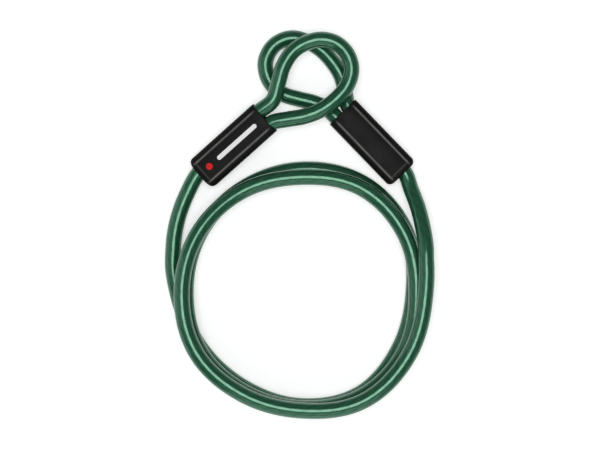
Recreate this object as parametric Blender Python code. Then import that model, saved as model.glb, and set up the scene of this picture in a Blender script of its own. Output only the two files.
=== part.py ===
"""Double-loop security cable, coiled for storage, lying flat with its two looped ends together.

A steel wire rope runs in a green PVC jacket. Each end is bent back into an eye, and the rope and its
tail are crimped in an aluminium ferrule under a black plastic sleeve. The jacket is cut away inside the
sleeves, so that the ferrule grips bare rope. The rope and jacket are each cut where a looped end starts
to swing, so that the coil and the two ends are separate bodies.

Units are metres, +Z is up and the cable lies on z = 0. The origin is under the middle of the whole.
"""

import math

import bmesh
import bpy
from mathutils import Matrix, Vector

MM = 0.001

# Cable
JACKET_RADIUS = 5.7 * MM
JACKET_WALL = 2.4 * MM
ROPE_RADIUS = 3.0 * MM
CUT_GAP = 0.3 * MM
SQUARE_END = 2.0 * MM
JACKET_RESOLUTION = 4
ROPE_RESOLUTION = 2

# Sleeve, a flattened tube whose mouth is at local x = 0 and whose closed end is at x = SLEEVE_LENGTH
SLEEVE_LENGTH = 62.0 * MM
SLEEVE_HALF_WIDTH = 12.7 * MM
SLEEVE_HALF_THICKNESS = 8.0 * MM
SLEEVE_SIDE_ROUND = 4.5 * MM
SLEEVE_END_ROUND = 3.9 * MM
SLEEVE_END_EASE = 1.2 * MM
CAVITY_HALF_HEIGHT = 6.05 * MM
CAVITY_HALF_WIDTH = 11.9 * MM
CAVITY_MOUTH_HALF_WIDTH = 12.2 * MM
CAVITY_MOUTH_HALF_HEIGHT = 6.9 * MM
CAVITY_FLARE = 10.0 * MM
CAVITY_DEPTH = 55.0 * MM
EXIT_HOLE_RADIUS = 6.4 * MM
EXIT_HOLE_DEPTH = 57.0 * MM
EXIT_OFFSET = 2.0 * MM
CORNER_STEPS = 4
END_STEPS = 3

# Ferrule, crimped over the rope and its tail
FERRULE_START = 22.0 * MM
FERRULE_LENGTH = 22.0 * MM
FERRULE_WALL = 1.8 * MM
FERRULE_BORE_RADIUS = 3.3 * MM
ROPE_SPACING = 3.2 * MM
TAIL_END = 46.0 * MM
JACKET_START_IN_SLEEVE = 48.0 * MM
EYE_JACKET_START = 10.5 * MM
BARE_GUIDES = 6  # guides of the bare rope between the lead's jacket and the eye's jacket
BARE_TAIL_GUIDES = 5  # guides of the bare rope of the tail

# Coil: centre, and stations of (wound angle in degrees, radius in mm, height in mm). The wound angle is
# measured anticlockwise from +X and falls along the cable. The strand starts on top of the pile at the
# right, and ends on the floor at the left.
COIL_CENTRE = Vector((0.7 * MM, -48.0 * MM, 0))
COIL_STEP = 15.0
COIL_START = 12.0
COIL_END = -908.0
COIL_STATIONS = [
    (20, 93.0, 25.2),
    (0, 88.2, 28.0),
    (-30, 88.2, 28.5),
    (-60, 88.4, 29.1),
    (-90, 83.3, 29.4),
    (-120, 83.0, 29.4),
    (-150, 85.4, 29.4),
    (-180, 84.4, 28.1),
    (-210, 84.2, 24.0),
    (-240, 83.0, 18.8),
    (-270, 81.9, 17.0),
    (-300, 85.5, 17.4),
    (-330, 84.6, 17.8),
    (-360, 82.2, 17.55),
    (-390, 84.8, 17.2),
    (-420, 85.6, 17.6),
    (-450, 82.6, 17.6),
    (-480, 81.6, 17.6),
    (-510, 83.2, 17.8),
    (-540, 82.0, 16.5),
    (-570, 83.4, 11.95),
    (-600, 85.0, 6.9),
    (-630, 87.7, 5.85),
    (-660, 89.7, 5.85),
    (-690, 86.8, 5.85),
    (-720, 80.6, 5.85),
    (-750, 81.2, 5.85),
    (-780, 84.4, 5.85),
    (-810, 81.9, 5.85),
    (-840, 79.9, 5.85),
    (-870, 82.4, 5.85),
    (-900, 88.9, 5.85),
    (-920, 98.0, 6.0),
]

# The two looped ends. mouth is the middle of the sleeve's open end, and bearing the way from there to
# its closed end. The sleeve's closed end tilts down by tilt. side is the local y side of the long strand.
# lead is the free strand from the coil to the sleeve, and eye the loop, both in mm.
ENDS = {
    "a": {
        "mouth": Vector((-25.1, 76.3, 17.0)) * MM,
        "bearing": 221.4,
        "tilt": 8.85,
        "side": -1,
        "mouth_spread": (5.95 * MM, 5.8 * MM),
        "coil_angle": COIL_END,
        "outward": 1,
        "pivot": Vector((-88.4, 3.4, 0)) * MM,
        "lead": [
            (-91.0, -19.0, 6.1),
            (-89.8, -6.0, 6.4),
            (-86.4, 8.3, 6.9),
            (-80.8, 22.4, 7.5),
        ],
        "eye": [
            (-19.4, 88.4, 18.6),
            (-15.4, 101.0, 19.1),
            (-12.2, 112.0, 19.1),
            (-4.0, 124.2, 19.0),
            (5.0, 129.6, 19.0),
            (15.5, 131.8, 19.0),
            (26.0, 129.0, 19.0),
            (33.6, 121.4, 19.0),
            (36.7, 111.2, 19.1),
            (33.3, 98.6, 19.2),
            (24.7, 88.6, 19.3),
            (14.6, 81.4, 19.4),
            (2.2, 76.8, 19.1),
            (-8.8, 75.0, 18.4),
        ],
    },
    "b": {
        "mouth": Vector((30.5, 80.7, 8.0)) * MM,
        "bearing": -46.0,
        "tilt": 0.0,
        "side": 1,
        "mouth_spread": (5.75 * MM, 6.0 * MM),
        "coil_angle": COIL_START,
        "outward": -1,
        "pivot": Vector((87.6, 0.1, 0)) * MM,
        "lead": [
            (89.2, -14.6, 24.4),
            (87.2, -1.0, 20.6),
            (83.9, 12.9, 15.2),
            (79.2, 26.0, 9.6),
        ],
        "eye": [
            (32.5, 93.8, 6.8),
            (29.8, 106.0, 5.9),
            (22.0, 118.4, 5.85),
            (12.5, 127.4, 5.85),
            (4.0, 131.8, 5.85),
            (-6.0, 133.9, 5.85),
            (-18.3, 128.8, 5.85),
            (-24.8, 116.8, 5.85),
            (-22.6, 104.6, 5.85),
            (-12.6, 93.9, 5.85),
            (-1.0, 90.2, 5.85),
            (10.5, 87.3, 6.1),
            (19.3, 83.1, 7.0),
        ],
    },
}
LEAD_SPACING = 16.0 * MM
EYE_SPACING = 11.0 * MM


# ---------------------------------------------------------------- helpers


def clear_scene():
    for old in list(bpy.data.objects):
        bpy.data.objects.remove(old)


def material(name, colour, roughness, metallic):
    made = bpy.data.materials.new(name)
    made.use_nodes = True
    shader = made.node_tree.nodes["Principled BSDF"]
    shader.inputs["Base Color"].default_value = (*colour, 1)
    shader.inputs["Roughness"].default_value = roughness
    shader.inputs["Metallic"].default_value = metallic
    return made


def jacket_material(name):
    return material(name, (0.02, 0.12, 0.06), 0.22, 0.0)


def rope_material(name):
    return material(name, (0.55, 0.56, 0.57), 0.35, 1.0)


def ferrule_material(name):
    return material(name, (0.72, 0.73, 0.74), 0.40, 1.0)


def sleeve_material(name):
    return material(name, (0.012, 0.012, 0.012), 0.45, 0.0)


def add_object(name, data, surface, parent):
    made = bpy.data.objects.new(name, data)
    bpy.context.scene.collection.objects.link(made)
    data.materials.append(surface)
    made.parent = parent
    if parent is not None:
        made.matrix_parent_inverse = Matrix.Translation(-parent.location)
    return made


def mesh_from(bm, name):
    bmesh.ops.recalc_face_normals(bm, faces=bm.faces)
    mesh = bpy.data.meshes.new(name)
    bm.to_mesh(mesh)
    bm.free()
    mesh.shade_smooth()
    mesh.set_sharp_from_angle(angle=math.radians(35))
    return mesh


def hermite(p0, p1, m0, m1, t):
    """A point on the cubic from p0 to p1 whose slopes over t are m0 and m1."""
    a = 2 * t**3 - 3 * t**2 + 1
    b = t**3 - 2 * t**2 + t
    c = 3 * t**2 - 2 * t**3
    d = t**3 - t**2
    return p0 * a + m0 * b + p1 * c + m1 * d


def slopes(points, knots):
    """The slope at each inner point, weighted by the knot spacing, and the end chords at the ends."""
    chords = [
        (points[i + 1] - points[i]) / (knots[i + 1] - knots[i])
        for i in range(len(points) - 1)
    ]
    found = [chords[0]]
    for i in range(1, len(points) - 1):
        before = knots[i] - knots[i - 1]
        after = knots[i + 1] - knots[i]
        found.append((chords[i - 1] * after + chords[i] * before) / (before + after))
    found.append(chords[-1])
    return found


def smooth_curve(guides, spacing):
    """Points on a smooth curve through every guide, about spacing apart. The first and last guides only
    steer the curve, and aren't on it."""
    knots = [0.0]
    for i in range(1, len(guides)):
        knots.append(knots[-1] + (guides[i] - guides[i - 1]).length)
    slope = slopes(guides, knots)
    found = [guides[1]]
    for i in range(1, len(guides) - 2):
        span = knots[i + 1] - knots[i]
        steps = max(1, round(span / spacing))
        for k in range(1, steps + 1):
            found.append(
                hermite(
                    guides[i],
                    guides[i + 1],
                    slope[i] * span,
                    slope[i + 1] * span,
                    k / steps,
                )
            )
    return found


# ---------------------------------------------------------------- the coil's route


def coil_point(angle):
    """The cable's centre at a wound angle, from the stations on either side."""
    knots = [-station[0] for station in COIL_STATIONS]
    values = [Vector((station[1] * MM, station[2] * MM)) for station in COIL_STATIONS]
    slope = slopes(values, knots)
    i = max(k for k in range(len(knots) - 1) if knots[k] <= -angle)
    span = knots[i + 1] - knots[i]
    t = (-angle - knots[i]) / span
    radius, height = hermite(
        values[i], values[i + 1], slope[i] * span, slope[i + 1] * span, t
    )
    turn = math.radians(angle)
    return COIL_CENTRE + Vector(
        (radius * math.cos(turn), radius * math.sin(turn), height)
    )


def coil_heading(angle):
    """The way the cable runs at a wound angle, towards the coil's end on the floor."""
    return (coil_point(angle - 0.5) - coil_point(angle + 0.5)).normalized()


def coil_points():
    """The coil's points, at the same angles on every turn, so that stacked strands keep their gap."""
    first = math.floor(COIL_START / COIL_STEP) * COIL_STEP
    count = int((first - COIL_END) // COIL_STEP) + 1
    middle = [coil_point(first - COIL_STEP * i) for i in range(count)]
    start = coil_point(COIL_START)
    end = coil_point(COIL_END)
    squared_start = start + coil_heading(COIL_START) * SQUARE_END
    squared_end = end - coil_heading(COIL_END) * SQUARE_END
    return [start, squared_start, *middle, squared_end, end]


# ---------------------------------------------------------------- tubes


def tube_curve(name, points, radius, resolution, capped):
    curve = bpy.data.curves.new(name, "CURVE")
    curve.dimensions = "3D"
    curve.twist_mode = "Z_UP"
    curve.bevel_depth = radius
    curve.bevel_resolution = resolution
    curve.use_fill_caps = capped
    line = curve.splines.new("POLY")
    line.points.add(len(points) - 1)
    for spot, place in zip(line.points, points):
        spot.co = (*place, 1)
    return curve


def add_rope(name, points, parent):
    curve = tube_curve(name, points, ROPE_RADIUS, ROPE_RESOLUTION, True)
    return add_object(name, curve, rope_material(name), parent)


def add_jacket(name, points, parent):
    """A hollow tube: an open curve tube, thickened inwards."""
    curve = tube_curve(name, points, JACKET_RADIUS, JACKET_RESOLUTION, False)
    jacket = add_object(name, curve, jacket_material(name), parent)
    wall = jacket.modifiers.new("wall", "SOLIDIFY")
    wall.thickness = JACKET_WALL
    wall.offset = -1
    wall.use_even_offset = True
    wall.use_rim = True
    return jacket


# ---------------------------------------------------------------- sleeves and ferrules


def rounded_quarter(half_width, half_height, corner):
    """Corner points of a rounded rectangle's first quarter, from +Y to +Z."""
    steps = CORNER_STEPS
    return [
        (
            half_width - corner + corner * math.cos(math.radians(90 * i / steps)),
            half_height - corner + corner * math.sin(math.radians(90 * i / steps)),
        )
        for i in range(steps + 1)
    ]


def ring_section(half_width, half_height, corner, centre=0.0):
    """A rounded rectangle in local y and z, with the same count of points whatever its size."""
    quarter = rounded_quarter(half_width, half_height, corner)
    first = [(y, z) for y, z in quarter]
    second = [(-y, z) for y, z in reversed(quarter)]
    third = [(-y, -z) for y, z in quarter]
    fourth = [(y, -z) for y, z in reversed(quarter)]
    return [(y + centre, z) for y, z in first + second + third + fourth]


def loft(bm, sections):
    """Joins rings of equal count into a closed band, the last ring back to the first."""
    rings = [[bm.verts.new((x, y, z)) for y, z in ring] for x, ring in sections]
    count = len(rings[0])
    for i, ring in enumerate(rings):
        following = rings[(i + 1) % len(rings)]
        for k in range(count):
            other = (k + 1) % count
            bm.faces.new((ring[k], ring[other], following[other], following[k]))


def sleeve_mesh(name, side):
    """Outside from the mouth to the rounded closed end, then back through the exit hole and the cavity."""
    half_height = SLEEVE_HALF_THICKNESS
    sections = [
        (0.0, ring_section(SLEEVE_HALF_WIDTH, half_height, SLEEVE_SIDE_ROUND))
    ]
    for i in range(END_STEPS + 1):
        turn = math.radians(90 * i / END_STEPS)
        inset = SLEEVE_END_ROUND * (1 - math.cos(turn))
        ease = SLEEVE_END_EASE * (1 - math.cos(turn))
        x = SLEEVE_LENGTH - SLEEVE_END_ROUND * (1 - math.sin(turn))
        corner = SLEEVE_SIDE_ROUND
        sections.append(
            (x, ring_section(SLEEVE_HALF_WIDTH - inset, half_height - ease, corner))
        )
    hole = ring_section(
        EXIT_HOLE_RADIUS, EXIT_HOLE_RADIUS, EXIT_HOLE_RADIUS, side * EXIT_OFFSET
    )
    sections.append((SLEEVE_LENGTH, hole))
    sections.append((EXIT_HOLE_DEPTH, hole))
    inner_corner = CAVITY_HALF_HEIGHT * 0.85
    inner = ring_section(CAVITY_HALF_WIDTH, CAVITY_HALF_HEIGHT, inner_corner)
    mouth = ring_section(
        CAVITY_MOUTH_HALF_WIDTH, CAVITY_MOUTH_HALF_HEIGHT, inner_corner
    )
    sections.append((CAVITY_DEPTH, inner))
    sections.append((CAVITY_FLARE, inner))
    sections.append((0.0, mouth))
    bm = bmesh.new()
    loft(bm, sections)
    return mesh_from(bm, name)


def ferrule_mesh(name):
    half_height = FERRULE_BORE_RADIUS + FERRULE_WALL
    half_width = ROPE_SPACING + half_height
    outside = ring_section(half_width, half_height, half_height)
    bore = ring_section(
        ROPE_SPACING + FERRULE_BORE_RADIUS, FERRULE_BORE_RADIUS, FERRULE_BORE_RADIUS
    )
    end = FERRULE_START + FERRULE_LENGTH
    bm = bmesh.new()
    loft(
        bm,
        [(FERRULE_START, outside), (end, outside), (end, bore), (FERRULE_START, bore)],
    )
    return mesh_from(bm, name)


# ---------------------------------------------------------------- looped ends


def end_frame(end):
    """The sleeve's frame: x from its mouth to its closed end, z up out of its flat top."""
    turn = Matrix.Rotation(math.radians(end["bearing"]), 4, "Z")
    tilt = Matrix.Rotation(math.radians(end["tilt"]), 4, "Y")
    return Matrix.Translation(end["mouth"]) @ turn @ tilt


def strand_in_sleeve(end, strand):
    """The strand's guides from deep in the sleeve to its mouth. strand is 1 for the long one and -1 for
    the tail."""
    spread = end["mouth_spread"][0 if strand == 1 else 1]
    beside = 5.9 * MM
    places = [
        (40.0 * MM, ROPE_SPACING),
        (26.0 * MM, ROPE_SPACING),
        (21.5 * MM, 1.03 * ROPE_SPACING),
        (16.0 * MM, 0.5 * (ROPE_SPACING + beside)),
        (EYE_JACKET_START, beside),
        (5.0 * MM, 0.5 * (beside + 0.2 * MM + spread)),
        (0.0, spread),
    ]
    if strand == 1:
        places = [
            (JACKET_START_IN_SLEEVE, 2.9 * MM),
            (44.0 * MM, ROPE_SPACING),
            *places,
        ]
    else:
        places = [(TAIL_END, ROPE_SPACING), *places]
    frame = end_frame(end)
    return [frame @ Vector((x, strand * end["side"] * y, 0)) for x, y in places]


def eye_guides(end):
    """The rope from the jacket's end in the sleeve, round the eye, to the end of the tail."""
    loop = [Vector(place) * MM for place in end["eye"]]
    return [*strand_in_sleeve(end, 1), *loop, *reversed(strand_in_sleeve(end, -1))]


def with_steering(points):
    """Adds a steering point before and after, in line with the ends."""
    return [2 * points[0] - points[1], *points, 2 * points[-1] - points[-2]]


def eye_jacket_guides(end):
    """The stretch of the eye's route that keeps its jacket, with a steering guide before and after."""
    route = eye_guides(end)
    return route[BARE_GUIDES - 1 : len(route) - BARE_TAIL_GUIDES + 1]


def lead_guides(end):
    """The free strand from the coil to where the jacket starts in the sleeve."""
    frame = end_frame(end)
    inside = [
        frame @ Vector((SLEEVE_LENGTH, end["side"] * EXIT_OFFSET, 0)),
        frame @ Vector((56.0 * MM, end["side"] * 2.4 * MM, 0)),
        frame @ Vector((JACKET_START_IN_SLEEVE, end["side"] * 2.9 * MM, 0)),
    ]
    start = coil_point(end["coil_angle"])
    outward = coil_heading(end["coil_angle"]) * end["outward"]
    squared = [start + outward * reach for reach in (0, CUT_GAP, SQUARE_END)]
    beyond = 2 * inside[-1] - inside[-2]
    free = [Vector(place) * MM for place in end["lead"]]
    return [*squared, *free, *inside, beyond]


def add_looped_end(letter):
    end = ENDS[letter]
    pivot = bpy.data.objects.new("swing_" + letter, None)
    pivot.location = end["pivot"]
    bpy.context.scene.collection.objects.link(pivot)

    lead = smooth_curve(lead_guides(end), LEAD_SPACING)
    add_jacket("jacket_lead_" + letter, lead, pivot)
    add_rope("rope_lead_" + letter, lead, pivot)

    eye = smooth_curve(with_steering(eye_guides(end)), EYE_SPACING)
    eye[0] = eye[0].lerp(eye[1], CUT_GAP / (eye[1] - eye[0]).length)
    add_rope("rope_eye_" + letter, eye, pivot)
    jacketed = smooth_curve(eye_jacket_guides(end), EYE_SPACING)
    add_jacket("jacket_eye_" + letter, jacketed, pivot)

    frame = end_frame(end)
    sleeve = add_object(
        "sleeve_" + letter,
        sleeve_mesh("sleeve_" + letter, end["side"]),
        sleeve_material("sleeve_" + letter),
        pivot,
    )
    sleeve.matrix_basis = frame
    ferrule = add_object(
        "ferrule_" + letter,
        ferrule_mesh("ferrule_" + letter),
        ferrule_material("ferrule_" + letter),
        pivot,
    )
    ferrule.matrix_basis = frame


def add_coil():
    route = coil_points()
    add_jacket("jacket_coil", route, None)
    add_rope("rope_coil", route, None)


clear_scene()
add_coil()
add_looped_end("a")
add_looped_end("b")
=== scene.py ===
import math

import bmesh
import bpy
from mathutils import Matrix, Vector


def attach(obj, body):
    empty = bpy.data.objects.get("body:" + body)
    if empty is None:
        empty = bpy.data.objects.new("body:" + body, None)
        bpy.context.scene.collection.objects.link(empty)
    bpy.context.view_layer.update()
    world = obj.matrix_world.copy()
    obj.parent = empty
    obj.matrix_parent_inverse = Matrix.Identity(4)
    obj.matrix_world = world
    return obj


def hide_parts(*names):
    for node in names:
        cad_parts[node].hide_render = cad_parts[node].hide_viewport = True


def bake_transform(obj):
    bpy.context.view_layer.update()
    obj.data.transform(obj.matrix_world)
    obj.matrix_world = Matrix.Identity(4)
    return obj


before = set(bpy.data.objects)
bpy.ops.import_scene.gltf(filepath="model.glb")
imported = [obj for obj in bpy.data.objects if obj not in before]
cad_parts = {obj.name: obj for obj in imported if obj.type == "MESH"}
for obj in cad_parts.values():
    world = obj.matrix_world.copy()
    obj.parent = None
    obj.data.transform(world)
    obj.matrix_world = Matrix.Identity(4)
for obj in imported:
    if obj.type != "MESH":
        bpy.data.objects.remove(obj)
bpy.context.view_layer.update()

MM = 0.001

# ---------------------------------------------------------------- the cable's route, as in part.py

JACKET_RADIUS = 5.7 * MM
JACKET_BORE = 3.3 * MM
ROPE_RADIUS = 3.0 * MM
SQUARE_END = 2.0 * MM

SLEEVE_LENGTH = 62.0 * MM
SLEEVE_HALF_WIDTH = 12.7 * MM
SLEEVE_HALF_THICKNESS = 8.0 * MM
SLEEVE_SIDE_ROUND = 4.5 * MM
SLEEVE_END_ROUND = 3.9 * MM
SLEEVE_END_EASE = 1.2 * MM
CAVITY_HALF_HEIGHT = 6.05 * MM
CAVITY_HALF_WIDTH = 11.9 * MM
CAVITY_MOUTH_HALF_WIDTH = 12.2 * MM
CAVITY_MOUTH_HALF_HEIGHT = 6.9 * MM
CAVITY_FLARE = 10.0 * MM
CAVITY_DEPTH = 55.0 * MM
EXIT_HOLE_RADIUS = 6.4 * MM
EXIT_HOLE_DEPTH = 57.0 * MM
EXIT_OFFSET = 2.0 * MM

ROPE_SPACING = 3.2 * MM
JACKET_START_IN_SLEEVE = 48.0 * MM
EYE_JACKET_START = 10.5 * MM
ROPE_GUIDE = 16.0 * MM
MOUTH_GUIDE = 5.0 * MM
SIDE_BY_SIDE = 5.9 * MM  # a strand's offset where the eye's two jackets lie together
TOWARDS_MOUTH = 0.2 * MM
LEAD_IN_SLEEVE = ((56.0 * MM, 2.4 * MM), (JACKET_START_IN_SLEEVE, 2.9 * MM))

# The coil winds down from the right lead, at COIL_START, to the left one, at COIL_END. A station
# is an angle in degrees, then a radius and a height in millimetres.
COIL_CENTRE = Vector((0.7 * MM, -48.0 * MM, 0))
COIL_START = 12.0
COIL_END = -908.0
COIL_STATIONS = [
    (20, 93.0, 25.2),
    (0, 88.2, 28.0),
    (-30, 88.2, 28.5),
    (-60, 88.4, 29.1),
    (-90, 83.3, 29.4),
    (-120, 83.0, 29.4),
    (-150, 85.4, 29.4),
    (-180, 84.4, 28.1),
    (-210, 84.2, 24.0),
    (-240, 83.0, 18.8),
    (-270, 81.9, 17.0),
    (-300, 85.5, 17.4),
    (-330, 84.6, 17.8),
    (-360, 82.2, 17.55),
    (-390, 84.8, 17.2),
    (-420, 85.6, 17.6),
    (-450, 82.6, 17.6),
    (-480, 81.6, 17.6),
    (-510, 83.2, 17.8),
    (-540, 82.0, 16.5),
    (-570, 83.4, 11.95),
    (-600, 85.0, 6.9),
    (-630, 87.7, 5.85),
    (-660, 89.7, 5.85),
    (-690, 86.8, 5.85),
    (-720, 80.6, 5.85),
    (-750, 81.2, 5.85),
    (-780, 84.4, 5.85),
    (-810, 81.9, 5.85),
    (-840, 79.9, 5.85),
    (-870, 82.4, 5.85),
    (-900, 88.9, 5.85),
    (-920, 98.0, 6.0),
]

# The two looped ends, a on the left. The guides of their leads and eyes are in millimetres.
ENDS = {
    "a": {
        "mouth": Vector((-25.1, 76.3, 17.0)) * MM,
        "bearing": 221.4,
        "tilt": 8.85,
        "side": -1,
        "mouth_spread": (5.95 * MM, 5.8 * MM),
        "coil_angle": COIL_END,
        "outward": 1,
        "lead": [
            (-91.0, -19.0, 6.1),
            (-89.8, -6.0, 6.4),
            (-86.4, 8.3, 6.9),
            (-80.8, 22.4, 7.5),
        ],
        "eye": [
            (-19.4, 88.4, 18.6),
            (-15.4, 101.0, 19.1),
            (-12.2, 112.0, 19.1),
            (-4.0, 124.2, 19.0),
            (5.0, 129.6, 19.0),
            (15.5, 131.8, 19.0),
            (26.0, 129.0, 19.0),
            (33.6, 121.4, 19.0),
            (36.7, 111.2, 19.1),
            (33.3, 98.6, 19.2),
            (24.7, 88.6, 19.3),
            (14.6, 81.4, 19.4),
            (2.2, 76.8, 19.1),
            (-8.8, 75.0, 18.4),
        ],
    },
    "b": {
        "mouth": Vector((30.5, 80.7, 8.0)) * MM,
        "bearing": -46.0,
        "tilt": 0.0,
        "side": 1,
        "mouth_spread": (5.75 * MM, 6.0 * MM),
        "coil_angle": COIL_START,
        "outward": -1,
        "lead": [
            (89.2, -14.6, 24.4),
            (87.2, -1.0, 20.6),
            (83.9, 12.9, 15.2),
            (79.2, 26.0, 9.6),
        ],
        "eye": [
            (32.5, 93.8, 6.8),
            (29.8, 106.0, 5.9),
            (22.0, 118.4, 5.85),
            (12.5, 127.4, 5.85),
            (4.0, 131.8, 5.85),
            (-6.0, 133.9, 5.85),
            (-18.3, 128.8, 5.85),
            (-24.8, 116.8, 5.85),
            (-22.6, 104.6, 5.85),
            (-12.6, 93.9, 5.85),
            (-1.0, 90.2, 5.85),
            (10.5, 87.3, 6.1),
            (19.3, 83.1, 7.0),
        ],
    },
}


def hermite(p0, p1, m0, m1, t):
    """A point on the cubic from p0 to p1 whose slopes over t are m0 and m1."""
    a = 2 * t**3 - 3 * t**2 + 1
    b = t**3 - 2 * t**2 + t
    c = 3 * t**2 - 2 * t**3
    d = t**3 - t**2
    return p0 * a + m0 * b + p1 * c + m1 * d


def slopes(points, knots):
    """The slope at each point, weighted by the knot spacing, with the chord's own at both ends."""
    chords = [
        (points[i + 1] - points[i]) / (knots[i + 1] - knots[i])
        for i in range(len(points) - 1)
    ]
    found = [chords[0]]
    for i in range(1, len(points) - 1):
        before = knots[i] - knots[i - 1]
        after = knots[i + 1] - knots[i]
        found.append((chords[i - 1] * after + chords[i] * before) / (before + after))
    found.append(chords[-1])
    return found


def smooth_curve(guides, spacing):
    """Points on a smooth curve through every guide but the first and last, which only steer it."""
    knots = [0.0]
    for i in range(1, len(guides)):
        knots.append(knots[-1] + (guides[i] - guides[i - 1]).length)
    slope = slopes(guides, knots)
    found = [guides[1]]
    for i in range(1, len(guides) - 2):
        span = knots[i + 1] - knots[i]
        steps = max(1, round(span / spacing))
        for k in range(1, steps + 1):
            found.append(
                hermite(
                    guides[i],
                    guides[i + 1],
                    slope[i] * span,
                    slope[i + 1] * span,
                    k / steps,
                )
            )
    return found


def coil_point(angle):
    """The cable's centre at a wound angle, from the stations on either side."""
    knots = [-station[0] for station in COIL_STATIONS]
    values = [Vector((station[1] * MM, station[2] * MM)) for station in COIL_STATIONS]
    slope = slopes(values, knots)
    i = max(k for k in range(len(knots) - 1) if knots[k] <= -angle)
    span = knots[i + 1] - knots[i]
    t = (-angle - knots[i]) / span
    radius, height = hermite(
        values[i], values[i + 1], slope[i] * span, slope[i + 1] * span, t
    )
    turn = math.radians(angle)
    return COIL_CENTRE + Vector(
        (radius * math.cos(turn), radius * math.sin(turn), height)
    )


def coil_heading(angle):
    """The way the cable runs at a wound angle, towards the coil's end on the floor."""
    return (coil_point(angle - 0.5) - coil_point(angle + 0.5)).normalized()


def coil_points(step):
    """The coil's points, about step degrees apart."""
    count = round((COIL_START - COIL_END) / step)
    size = (COIL_START - COIL_END) / count
    return [coil_point(COIL_START - size * i) for i in range(count + 1)]


def end_frame(end):
    """The sleeve's frame: x from its mouth to its closed end, z up out of its top."""
    turn = Matrix.Rotation(math.radians(end["bearing"]), 4, "Z")
    tilt = Matrix.Rotation(math.radians(end["tilt"]), 4, "Y")
    return Matrix.Translation(end["mouth"]) @ turn @ tilt


def strand_in_sleeve(end, strand):
    """Guides of the eye's strand from inside the sleeve, where the jacket starts, to its mouth."""
    spread = end["mouth_spread"][0 if strand == 1 else 1]
    places = [
        (ROPE_GUIDE, 0.5 * (ROPE_SPACING + SIDE_BY_SIDE)),
        (EYE_JACKET_START, SIDE_BY_SIDE),
        (MOUTH_GUIDE, 0.5 * (SIDE_BY_SIDE + TOWARDS_MOUTH + spread)),
        (0.0, spread),
    ]
    place = end_frame(end)
    return [place @ Vector((x, strand * end["side"] * y, 0)) for x, y in places]


def eye_guides(end):
    """The eye's jacket, from one of its ends in the sleeve, round the loop, to the other."""
    loop = [Vector(place) * MM for place in end["eye"]]
    return [*strand_in_sleeve(end, 1), *loop, *reversed(strand_in_sleeve(end, -1))]


def lead_guides(end):
    """The free strand from the coil to where the jacket starts in the sleeve."""
    place = end_frame(end)
    inside = [
        place @ Vector((x, end["side"] * y, 0))
        for x, y in ((SLEEVE_LENGTH, EXIT_OFFSET), *LEAD_IN_SLEEVE)
    ]
    start = coil_point(end["coil_angle"])
    outward = coil_heading(end["coil_angle"]) * end["outward"]
    squared = [start + outward * reach for reach in (-SQUARE_END, 0, SQUARE_END)]
    beyond = 2 * inside[-1] - inside[-2]
    free = [Vector(spot) * MM for spot in end["lead"]]
    return [*squared, *free, *inside, beyond]


# ---------------------------------------------------------------- camera

CAMERA_PLANE = 12.0 * MM
CAMERA_DISTANCE = 1.6
CAMERA_Y = -0.18 * MM
VIEW_WIDTH = 428.6 * MM
SENSOR = 36.0

camera_data = bpy.data.cameras.new("camera")
camera_data.sensor_width = SENSOR
camera_data.lens = SENSOR * CAMERA_DISTANCE / VIEW_WIDTH
camera = bpy.data.objects.new("camera", camera_data)
camera.location = (0, CAMERA_Y, CAMERA_PLANE + CAMERA_DISTANCE)
bpy.context.scene.collection.objects.link(camera)
bpy.context.scene.camera = camera

# ---------------------------------------------------------------- node helpers


def new_material(name):
    """A new material, its node tree and its shader."""
    made = bpy.data.materials.new(name)
    made.use_nodes = True
    tree = made.node_tree
    return made, tree, tree.nodes["Principled BSDF"]


def math_node(tree, operation, a, b=None, c=None):
    """A maths node. Each input is a number or another node's output."""
    node = tree.nodes.new("ShaderNodeMath")
    node.operation = operation
    for socket, value in zip(node.inputs, (a, b, c)):
        if value is None:
            continue
        if isinstance(value, bpy.types.NodeSocket):
            tree.links.new(value, socket)
        else:
            socket.default_value = value
    return node.outputs[0]


def noise(tree, vector, scale, detail=3.0, roughness=0.5):
    """A noise from 0 to 1, which is seldom outside NOISE_RANGE."""
    node = tree.nodes.new("ShaderNodeTexNoise")
    node.inputs["Scale"].default_value = scale
    node.inputs["Detail"].default_value = detail
    node.inputs["Roughness"].default_value = roughness
    tree.links.new(vector, node.inputs["Vector"])
    return node.outputs["Fac"]


def mapped(tree, value, low, high, to_low, to_high):
    """value's range from low to high, stretched to to_low to to_high, and held past the ends."""
    node = tree.nodes.new("ShaderNodeMapRange")
    node.inputs["From Min"].default_value = low
    node.inputs["From Max"].default_value = high
    node.inputs["To Min"].default_value = to_low
    node.inputs["To Max"].default_value = to_high
    tree.links.new(value, node.inputs["Value"])
    return node.outputs["Result"]


def mix_colour(tree, factor, first, second):
    """first where factor is 0, second where it is 1. Each is a colour or a node's output."""
    node = tree.nodes.new("ShaderNodeMix")
    node.data_type = "RGBA"
    sockets = (node.inputs[0], node.inputs[6], node.inputs[7])
    for socket, value in zip(sockets, (factor, first, second)):
        if isinstance(value, bpy.types.NodeSocket):
            tree.links.new(value, socket)
        elif isinstance(value, tuple):
            socket.default_value = (*value, 1)
        else:
            socket.default_value = value
    return node.outputs[2]


def bump(tree, height, strength, distance):
    """A normal raised by height, where 1 stands for distance."""
    node = tree.nodes.new("ShaderNodeBump")
    node.inputs["Strength"].default_value = strength
    node.inputs["Distance"].default_value = distance
    tree.links.new(height, node.inputs["Height"])
    return node.outputs["Normal"]


def uv(tree, layer):
    """The two coordinates of a UV layer."""
    node = tree.nodes.new("ShaderNodeUVMap")
    node.uv_map = layer
    split = tree.nodes.new("ShaderNodeSeparateXYZ")
    tree.links.new(node.outputs["UV"], split.inputs[0])
    return split.outputs[0], split.outputs[1]


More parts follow.
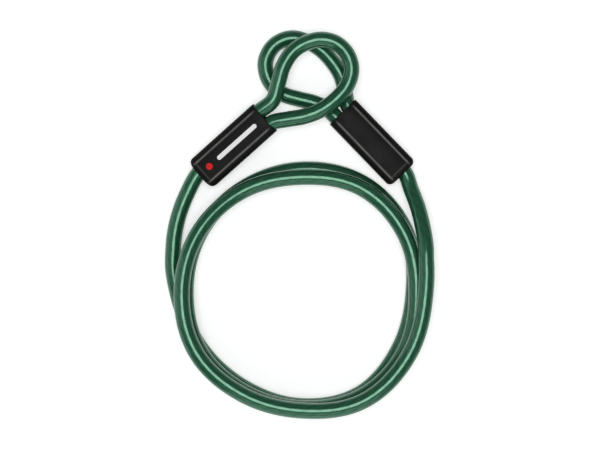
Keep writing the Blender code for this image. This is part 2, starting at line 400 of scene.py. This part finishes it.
def object_coordinates(tree):
    return tree.nodes.new("ShaderNodeTexCoord").outputs["Object"]


# ---------------------------------------------------------------- materials

NOISE_RANGE = (0.3, 0.7)

# The wire rope under the jacket. A lay is the run in which a strand or wire goes once round.
STRANDS = 6
STRAND_LAY = 62.0 * MM
WIRES = 42
WIRE_LAY = -300.0 * MM
FINE_SHARE = 0.35  # the wires' share beside the strands' 1

# Colours. A pair is the darker and the lighter side of a surface's variation.
PVC_BETWEEN_STRANDS = ((0.012, 0.077, 0.037), (0.016, 0.090, 0.045))
PVC_OVER_STRANDS = ((0.018, 0.108, 0.054), (0.023, 0.124, 0.064))
PVC_INSIDE = ((0.006, 0.050, 0.024), (0.012, 0.085, 0.040))
STEEL = ((0.16, 0.16, 0.165), (0.56, 0.57, 0.58))
ALUMINIUM = ((0.50, 0.51, 0.52), (0.74, 0.75, 0.76))
BLACK_PLASTIC = ((0.0028, 0.0026, 0.0024), (0.0070, 0.0066, 0.0062))
# Painted highlight: the light grey of the sleeve's shoulder and closed-end lines
PAINTED_EDGE_HIGHLIGHT = (0.140, 0.135, 0.130)
PRINT_WHITE = (0.80, 0.80, 0.79)
PRINT_RED = (0.62, 0.012, 0.014)

# Roughness, from the smoothest patches to the roughest
JACKET_ROUGHNESS = (0.20, 0.27)
STEEL_ROUGHNESS = (0.28, 0.42)
ALUMINIUM_ROUGHNESS = (0.30, 0.48)
PLASTIC_ROUGHNESS = (0.40, 0.52)

# The sleeve's painted highlight lines and print, in the sleeve's own x and y
SHOULDER = 8.2 * MM
END_HIGHLIGHT_SHARE = 0.3  # how bright the painted highlight across the closed end is, beside the shoulders' 1
PRINT_SOFT = 0.06 * MM
BAR_MIDDLE = 25.5 * MM
BAR_HALF_LENGTH = 18.5 * MM
BAR_RADIUS = 1.6 * MM
DOT_MIDDLE = 52.0 * MM
DOT_RADIUS = 2.4 * MM


def strand_heights(tree):
    """Round strands in a right-hand lay, and their fine wires, as two heights from 0 to 1."""
    run, turn = uv(tree, "route")
    lay = math_node(tree, "MULTIPLY_ADD", run, 1 / STRAND_LAY, turn)
    strand = math_node(tree, "MULTIPLY", lay, STRANDS * math.pi)
    crown = math_node(tree, "ABSOLUTE", math_node(tree, "SINE", strand))
    wire_lay = math_node(tree, "MULTIPLY_ADD", run, 1 / WIRE_LAY, turn)
    wire = math_node(tree, "MULTIPLY", wire_lay, WIRES * math.pi)
    fine = math_node(tree, "ABSOLUTE", math_node(tree, "SINE", wire))
    return crown, fine


def jacket_surface():
    """Glossy green PVC over a wire rope, whose strands show faintly through it."""
    made, tree, shader = new_material("pvc_green")
    crown, fine = strand_heights(tree)
    place = object_coordinates(tree)
    cloud = noise(tree, place, 38.0, detail=4.0)
    relief = math_node(tree, "MULTIPLY_ADD", fine, FINE_SHARE, crown)
    depth = mapped(tree, relief, 0.15, 1.3, to_low=0.0, to_high=1.0)
    dark = mix_colour(tree, cloud, *PVC_BETWEEN_STRANDS)
    light = mix_colour(tree, cloud, *PVC_OVER_STRANDS)
    tree.links.new(mix_colour(tree, depth, dark, light), shader.inputs["Base Color"])
    normal = bump(tree, relief, strength=0.14, distance=0.2 * MM)
    tree.links.new(normal, shader.inputs["Normal"])
    grain = noise(tree, place, 260.0, detail=2.0)
    rough = mapped(tree, grain, *NOISE_RANGE, *JACKET_ROUGHNESS)
    tree.links.new(rough, shader.inputs["Roughness"])
    shader.inputs["Metallic"].default_value = 0.45
    shader.inputs["Specular Tint"].default_value = (0.25, 0.50, 0.38, 1)
    shader.inputs["Specular IOR Level"].default_value = 0.25
    shader.inputs["Coat Weight"].default_value = 0.7
    shader.inputs["Coat Roughness"].default_value = 0.08
    shader.inputs["Coat IOR"].default_value = 1.5
    return made


def bore_surface():
    """The jacket's matt bore and cut ends."""
    made, tree, shader = new_material("pvc_green_inside")
    place = object_coordinates(tree)
    colour = mix_colour(tree, noise(tree, place, 300.0), *PVC_INSIDE)
    tree.links.new(colour, shader.inputs["Base Color"])
    shader.inputs["Roughness"].default_value = 0.5
    return made


def rope_surface():
    """Galvanised steel wire rope. Its strands are bands by place: the CAD rope has no UV layer."""
    made, tree, shader = new_material("wire_rope")
    place = object_coordinates(tree)
    wave = tree.nodes.new("ShaderNodeTexWave")
    wave.bands_direction = "DIAGONAL"
    wave.inputs["Scale"].default_value = 190.0
    wave.inputs["Distortion"].default_value = 0.6
    tree.links.new(place, wave.inputs["Vector"])
    strands = wave.outputs["Fac"]
    tree.links.new(mix_colour(tree, strands, *STEEL), shader.inputs["Base Color"])
    normal = bump(tree, strands, strength=0.8, distance=0.3 * MM)
    tree.links.new(normal, shader.inputs["Normal"])
    grain = noise(tree, place, 500.0)
    rough = mapped(tree, grain, *NOISE_RANGE, *STEEL_ROUGHNESS)
    tree.links.new(rough, shader.inputs["Roughness"])
    shader.inputs["Metallic"].default_value = 1.0
    return made


def ferrule_surface():
    """Crimped aluminium, with a fine grain and a cloudy tone."""
    made, tree, shader = new_material("aluminium_ferrule")
    place = object_coordinates(tree)
    cloud = noise(tree, place, 160.0, detail=5.0)
    tree.links.new(mix_colour(tree, cloud, *ALUMINIUM), shader.inputs["Base Color"])
    rough = mapped(tree, cloud, *NOISE_RANGE, *ALUMINIUM_ROUGHNESS)
    tree.links.new(rough, shader.inputs["Roughness"])
    grain = noise(tree, place, 900.0)
    normal = bump(tree, grain, strength=0.25, distance=0.1 * MM)
    tree.links.new(normal, shader.inputs["Normal"])
    shader.inputs["Metallic"].default_value = 1.0
    return made


def line_mask(tree, value, middle, half_width, soft):
    """1 within half_width of middle, falling to 0 over soft."""
    off = math_node(tree, "ABSOLUTE", math_node(tree, "SUBTRACT", value, middle))
    return mapped(tree, off, half_width, half_width + soft, to_low=1.0, to_high=0.0)


def capsule_mask(tree, x, y, middle, half_length, radius):
    """1 on a bar with round ends that lies along x, and 0 off it."""
    reach = math_node(tree, "ABSOLUTE", math_node(tree, "SUBTRACT", x, middle))
    past = math_node(tree, "SUBTRACT", reach, half_length - radius)
    past = math_node(tree, "MAXIMUM", past, 0.0)
    y_squared = math_node(tree, "MULTIPLY", y, y)
    squares = math_node(tree, "MULTIPLY_ADD", past, past, y_squared)
    far = math_node(tree, "SQRT", squares)
    near_edge, far_edge = radius - PRINT_SOFT, radius + PRINT_SOFT
    return mapped(tree, far, near_edge, far_edge, to_low=1.0, to_high=0.0)


def painted_edge_highlights(tree, x, y, scuffs):
    """Painted highlight lines on the top: brightest along both shoulders, fainter across the closed
    end, 0 elsewhere.
    """
    side = math_node(tree, "ABSOLUTE", y)
    edge = line_mask(tree, side, SHOULDER, half_width=0.25 * MM, soft=0.75 * MM)
    middle, reach = 0.5 * SLEEVE_LENGTH, 0.42 * SLEEVE_LENGTH
    along = line_mask(tree, x, middle, half_width=reach, soft=4 * MM)
    edge = math_node(tree, "MULTIPLY", edge, along)
    closed_end = SLEEVE_LENGTH - SLEEVE_END_ROUND
    end = line_mask(tree, x, closed_end, half_width=0.2 * MM, soft=0.6 * MM)
    across = line_mask(tree, y, 0.0, half_width=6.5 * MM, soft=3 * MM)
    end = math_node(tree, "MULTIPLY", end, across)
    highlight = math_node(tree, "MAXIMUM", edge, math_node(tree, "MULTIPLY", end, END_HIGHLIGHT_SHARE))
    uneven = mapped(tree, scuffs, 0.30, 0.60, to_low=0.55, to_high=1.0)
    return math_node(tree, "MULTIPLY", highlight, uneven)


def sleeve_surface(name, edge_highlights, printed):
    """Satin black moulded plastic with a fine grain. The first flag adds painted highlight lines
    along the top's shoulders and across its closed end.
    The second, printed, which needs the first, adds a plain white bar and a plain red dot."""
    made, tree, shader = new_material(name)
    place = object_coordinates(tree)
    cloud = noise(tree, place, 120.0, detail=4.0)
    colour = mix_colour(tree, cloud, *BLACK_PLASTIC)
    grain = noise(tree, place, 2600.0, detail=2.0)
    scuffs = noise(tree, place, 55.0, detail=6.0, roughness=0.62)
    rough = mapped(tree, scuffs, 0.35, 0.7, *PLASTIC_ROUGHNESS)
    rough = math_node(tree, "MULTIPLY_ADD", grain, 0.05, rough)
    if edge_highlights:
        x, y = uv(tree, "local")
        highlight = painted_edge_highlights(tree, x, y, scuffs)
        # Painted highlight lines go onto the top in light grey
        colour = mix_colour(tree, highlight, colour, PAINTED_EDGE_HIGHLIGHT)
    if printed:
        bar = capsule_mask(tree, x, y, BAR_MIDDLE, BAR_HALF_LENGTH, BAR_RADIUS)
        dot = capsule_mask(tree, x, y, DOT_MIDDLE, DOT_RADIUS, DOT_RADIUS)
        colour = mix_colour(tree, bar, colour, PRINT_WHITE)
        colour = mix_colour(tree, dot, colour, PRINT_RED)
    tree.links.new(colour, shader.inputs["Base Color"])
    tree.links.new(rough, shader.inputs["Roughness"])
    normal = bump(tree, grain, strength=0.20, distance=0.05 * MM)
    tree.links.new(normal, shader.inputs["Normal"])
    shader.inputs["Specular IOR Level"].default_value = 0.10
    return made


jacket_green = jacket_surface()
jacket_bore = bore_surface()
rope_steel = rope_surface()
ferrule_metal = ferrule_surface()
sleeve_black = sleeve_surface("satin_black", edge_highlights=False, printed=False)
sleeve_tops = {
    "a": sleeve_surface("satin_black_printed", edge_highlights=True, printed=True),
    "b": sleeve_surface("satin_black_painted_highlights", edge_highlights=True, printed=False),
}

# ---------------------------------------------------------------- cable pieces

RING_SIDES = 32
RING_SPACING = 2.4 * MM
COIL_RING_STEP = 1.6  # degrees
ROD_SIDES = 16
SHARP_ANGLE = math.radians(35)


def add_mesh(name, bm, materials):
    """The bmesh as a new object, smooth except at its sharp edges."""
    mesh = bpy.data.meshes.new(name)
    bm.to_mesh(mesh)
    bm.free()
    made = bpy.data.objects.new(name, mesh)
    for surface in materials:
        mesh.materials.append(surface)
    bpy.context.scene.collection.objects.link(made)
    mesh.shade_smooth()
    mesh.set_sharp_from_angle(angle=SHARP_ANGLE)
    return made


def headings(points, first=None, last=None):
    """The way the route runs at each point. first and last fix the end rings' planes."""
    found = []
    for i in range(len(points)):
        before = points[max(i - 1, 0)]
        after = points[min(i + 1, len(points) - 1)]
        found.append((after - before).normalized())
    if first is not None:
        found[0] = first
    if last is not None:
        found[-1] = last
    return found


def distances(points):
    """The run along the route from its first point to each point."""
    runs = [0.0]
    for i in range(1, len(points)):
        runs.append(runs[-1] + (points[i] - points[i - 1]).length)
    return runs


def ring(bm, centre, heading, radius, sides):
    """A circle of new vertices square to heading, which starts at its top."""
    across = heading.cross(Vector((0, 0, 1))).normalized()
    above = across.cross(heading)
    found = []
    for k in range(sides):
        turn = 2 * math.pi * k / sides
        way = across * math.sin(turn) + above * math.cos(turn)
        found.append(bm.verts.new(centre + way * radius))
    return found


def add_tube(name, points, run_from, first=None, last=None):
    """A jacket: the outside, the bore and the two cut ends. The route layer holds the run along the
    cable in metres and the turn round it from 0 to 1."""
    bm = bmesh.new()
    route = bm.loops.layers.uv.new("route")
    ways = headings(points, first, last)
    runs = [run_from + run for run in distances(points)]
    outer = [ring(bm, p, w, JACKET_RADIUS, RING_SIDES) for p, w in zip(points, ways)]
    inner = [ring(bm, p, w, JACKET_BORE, RING_SIDES) for p, w in zip(points, ways)]

    def quad(corners, spots, index):
        face = bm.faces.new(corners)
        face.material_index = index
        for loop, spot in zip(face.loops, spots):
            loop[route].uv = spot

    for i in range(len(points) - 1):
        for k in range(RING_SIDES):
            other = (k + 1) % RING_SIDES
            t0, t1 = k / RING_SIDES, (k + 1) / RING_SIDES
            a, b = runs[i], runs[i + 1]
            quad(
                (outer[i][k], outer[i + 1][k], outer[i + 1][other], outer[i][other]),
                ((a, t0), (b, t0), (b, t1), (a, t1)),
                0,
            )
            quad(
                (inner[i][other], inner[i + 1][other], inner[i + 1][k], inner[i][k]),
                ((a, t1), (b, t1), (b, t0), (a, t0)),
                1,
            )
    for k in range(RING_SIDES):
        other = (k + 1) % RING_SIDES
        t0, t1 = k / RING_SIDES, (k + 1) / RING_SIDES
        spots = ((runs[0], t0), (runs[0], t1), (runs[0], t1), (runs[0], t0))
        quad((outer[0][k], outer[0][other], inner[0][other], inner[0][k]), spots, 1)
        spots = ((runs[-1], t1), (runs[-1], t0), (runs[-1], t0), (runs[-1], t1))
        quad((outer[-1][other], outer[-1][k], inner[-1][k], inner[-1][other]), spots, 1)
    return add_mesh(name, bm, (jacket_green, jacket_bore))


def add_rod(name, points):
    """A solid round rope."""
    bm = bmesh.new()
    rings = [
        ring(bm, p, w, ROPE_RADIUS, ROD_SIDES) for p, w in zip(points, headings(points))
    ]
    for here, there in zip(rings, rings[1:]):
        for k in range(ROD_SIDES):
            other = (k + 1) % ROD_SIDES
            bm.faces.new((here[k], there[k], there[other], here[other]))
    bm.faces.new(rings[0])
    bm.faces.new(list(reversed(rings[-1])))
    return add_mesh(name, bm, (rope_steel,))


def add_coil():
    """The coil. Gives its length, which the leads' strand pattern carries on from."""
    route = coil_points(COIL_RING_STEP)
    length = distances(route)[-1]
    coil = add_tube(
        "cable_coil", route, 0.0, coil_heading(COIL_START), coil_heading(COIL_END)
    )
    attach(coil, "coil")
    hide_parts("jacket_coil")
    return length


def add_lead(letter, coil_length):
    """The stretch that bends between the coil and the sleeve, with the rope in it."""
    end = ENDS[letter]
    name = "cable_lead_" + letter
    route = smooth_curve(lead_guides(end), RING_SPACING)
    length = distances(route)[-1]
    heading = coil_heading(end["coil_angle"])
    if end["outward"] < 0:
        route.reverse()
        lead = add_tube(name, route, -length, last=heading)
    else:
        lead = add_tube(name, route, coil_length, first=heading)
    core = add_rod("rope_in_lead_" + letter, route)
    for piece in (lead, core):
        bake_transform(piece)
    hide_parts("jacket_lead_" + letter)
    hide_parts("rope_lead_" + letter)


def add_eye(letter):
    """The jacket of the loop at one end."""
    route = smooth_curve(eye_guides(ENDS[letter]), RING_SPACING)
    eye = add_tube("cable_eye_" + letter, route, 0.0)
    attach(eye, "end_" + letter)
    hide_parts("jacket_eye_" + letter)


length_in_coil = add_coil()
for letter in ENDS:
    add_lead(letter, length_in_coil)
    add_eye(letter)

# ---------------------------------------------------------------- sleeves

SECTION_STEPS = 12
TOP_STEPS = 12
LIP_STEPS = 3
END_STEPS = 10
LIP_ROUND = 0.35 * MM
CROWN = 0.75 * MM
MIDDLE_SECTIONS = (6 * MM, 18 * MM, 32 * MM, 46 * MM)
OUTER_SECTIONS = LIP_STEPS + 1 + len(MIDDLE_SECTIONS) + END_STEPS + 1
INNER_CORNER_SHARE = 0.85
MERGE_DISTANCE = 0.002 * MM


def rounded_quarter(half_width, half_height, corner):
    """Corner points of a rounded rectangle's first quarter, from +Y to +Z."""
    found = []
    for i in range(SECTION_STEPS + 1):
        turn = math.radians(90 * i / SECTION_STEPS)
        y = half_width - corner + corner * math.cos(turn)
        z = half_height - corner + corner * math.sin(turn)
        found.append((y, z))
    return found


def ring_section(half_width, half_height, corner, centre=0.0):
    """A rounded rectangle in local y and z, with points along its top for the crown."""
    quarter = rounded_quarter(half_width, half_height, corner)
    flat = half_width - corner
    top = [
        (flat * (1 - 2 * i / TOP_STEPS), half_height) for i in range(1, TOP_STEPS)
    ]
    second = [(-y, z) for y, z in reversed(quarter)]
    third = [(-y, -z) for y, z in quarter]
    fourth = [(y, -z) for y, z in reversed(quarter)]
    return [(y + centre, z) for y, z in quarter + top + second + third + fourth]


def crowned_section(half_width, half_height, corner):
    """A rounded rectangle whose top falls away a little from its middle to its shoulders."""
    found = []
    for y, z in ring_section(half_width, half_height, corner):
        fall = CROWN * min(1.0, (y / SHOULDER) ** 2) * max(0.0, z / half_height)
        found.append((y, z - fall))
    return found


def sleeve_sections(side):
    """Outside from the mouth to the closed end, then back through the exit hole and the cavity."""
    half_width = SLEEVE_HALF_WIDTH
    half_height = SLEEVE_HALF_THICKNESS
    corner = SLEEVE_SIDE_ROUND
    sections = []
    for i in range(LIP_STEPS + 1):
        turn = math.radians(90 * i / LIP_STEPS)
        inset = LIP_ROUND * (1 - math.sin(turn))
        x = LIP_ROUND * (1 - math.cos(turn))
        ring_shape = crowned_section(half_width - inset, half_height - inset, corner)
        sections.append((x, ring_shape))
    for x in MIDDLE_SECTIONS:
        sections.append((x, crowned_section(half_width, half_height, corner)))
    for i in range(END_STEPS + 1):
        turn = math.radians(90 * i / END_STEPS)
        inset = SLEEVE_END_ROUND * (1 - math.cos(turn))
        ease = SLEEVE_END_EASE * (1 - math.cos(turn))
        x = SLEEVE_LENGTH - SLEEVE_END_ROUND * (1 - math.sin(turn))
        ring_shape = crowned_section(half_width - inset, half_height - ease, corner)
        sections.append((x, ring_shape))
    hole = ring_section(
        EXIT_HOLE_RADIUS, EXIT_HOLE_RADIUS, EXIT_HOLE_RADIUS, side * EXIT_OFFSET
    )
    inner_corner = CAVITY_HALF_HEIGHT * INNER_CORNER_SHARE
    inner = ring_section(CAVITY_HALF_WIDTH, CAVITY_HALF_HEIGHT, inner_corner)
    mouth = ring_section(
        CAVITY_MOUTH_HALF_WIDTH, CAVITY_MOUTH_HALF_HEIGHT, inner_corner
    )
    sections.append((SLEEVE_LENGTH, hole))
    sections.append((EXIT_HOLE_DEPTH, hole))
    sections.append((CAVITY_DEPTH, inner))
    sections.append((CAVITY_FLARE, inner))
    sections.append((0.0, mouth))
    return sections


def add_sleeve(letter):
    """The sleeve. Its top has its own material, and the local layer holds its own x and y."""
    end = ENDS[letter]
    bm = bmesh.new()
    local = bm.loops.layers.uv.new("local")
    sections = sleeve_sections(end["side"])
    rings = [[bm.verts.new((x, y, z)) for y, z in section] for x, section in sections]
    count = len(rings[0])
    for i, section in enumerate(rings):
        following = rings[(i + 1) % len(rings)]
        for k in range(count):
            other = (k + 1) % count
            corners = (section[k], section[other], following[other], following[k])
            face = bm.faces.new(corners)
            on_top = min(corner.co.z for corner in corners) > 0
            face.material_index = 1 if on_top and i + 1 < OUTER_SECTIONS else 0
            for loop in face.loops:
                loop[local].uv = loop.vert.co.xy
    bmesh.ops.remove_doubles(bm, verts=bm.verts, dist=MERGE_DISTANCE)
    bmesh.ops.recalc_face_normals(bm, faces=bm.faces)
    bm.transform(end_frame(end))
    made = add_mesh("sleeve_shell_" + letter, bm, (sleeve_black, sleeve_tops[letter]))
    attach(made, "end_" + letter)
    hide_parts("sleeve_" + letter)


for letter in ENDS:
    add_sleeve(letter)

# ---------------------------------------------------------------- CAD nodes that stay

for name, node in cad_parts.items():
    for prefix, surface in (("rope_", rope_steel), ("ferrule_", ferrule_metal)):
        if name.startswith(prefix):
            for place in node.material_slots:
                place.material = surface

# ---------------------------------------------------------------- floor, light and world

FLOOR_HALF_SIZE = 6.0
FLOOR_DROP = 0.1 * MM
FLOOR_WHITE = 0.86
FLOOR_GLOW = 0.42
ORIGIN = Vector((0, 0, 0))


def add_floor():
    """White paper, with a little light of its own so that it renders as the photo's plain white."""
    bm = bmesh.new()
    bmesh.ops.create_grid(bm, x_segments=2, y_segments=2, size=FLOOR_HALF_SIZE)
    made = add_mesh("floor", bm, ())
    made.location = (0, 0, -FLOOR_DROP)
    surface, tree, shader = new_material("white_paper")
    shader.inputs["Base Color"].default_value = (FLOOR_WHITE, FLOOR_WHITE, FLOOR_WHITE, 1)
    shader.inputs["Roughness"].default_value = 0.9
    shader.inputs["Specular IOR Level"].default_value = 0.1
    shader.inputs["Emission Color"].default_value = (1, 1, 1, 1)
    shader.inputs["Emission Strength"].default_value = FLOOR_GLOW
    made.data.materials.append(surface)


def add_area(name, location, width, depth, radiance, shape="RECTANGLE"):
    """A soft light that faces the origin and is as bright as radiance, whatever its size."""
    data = bpy.data.lights.new(name, "AREA")
    data.shape = shape
    data.size = width
    data.size_y = depth
    area = width * depth
    if shape == "DISK":
        area *= math.pi / 4
    data.energy = radiance * area * math.pi
    light = bpy.data.objects.new(name, data)
    light.location = location
    aim = ORIGIN - Vector(location)
    light.rotation_mode = "QUATERNION"
    light.rotation_quaternion = aim.to_track_quat("-Z", "Y")
    light.visible_camera = False
    bpy.context.scene.collection.objects.link(light)


def add_world(colour, strength):
    world = bpy.data.worlds.new("studio")
    world.use_nodes = True
    shader = world.node_tree.nodes["Background"]
    shader.inputs["Color"].default_value = (*colour, 1)
    shader.inputs["Strength"].default_value = strength
    bpy.context.scene.world = world


add_floor()
add_area("overhead", (0, 0, 2.2), width=1.25, depth=1.25, radiance=6.5, shape="DISK")
add_area("fill_front", (0.2, -2.0, 1.75), width=2.8, depth=1.5, radiance=1.1)
add_area("fill_left", (-2.0, 0.2, 1.75), width=1.5, depth=2.8, radiance=0.55)
add_area("low_front", (0.0, -2.2, 0.36), width=2.8, depth=0.42, radiance=2.4)
add_area("low_left", (-2.2, 0.0, 0.36), width=2.8, depth=0.42, radiance=1.4)
add_world(colour=(0.93, 0.96, 1.0), strength=0.22)
bpy.context.scene.view_settings.view_transform = "Standard"

# ---------------------------------------------------------------- box corners and a last update


def corners(box):
    return [[float(v) for v in corner] for corner in box]


bpy.context.view_layer.update()
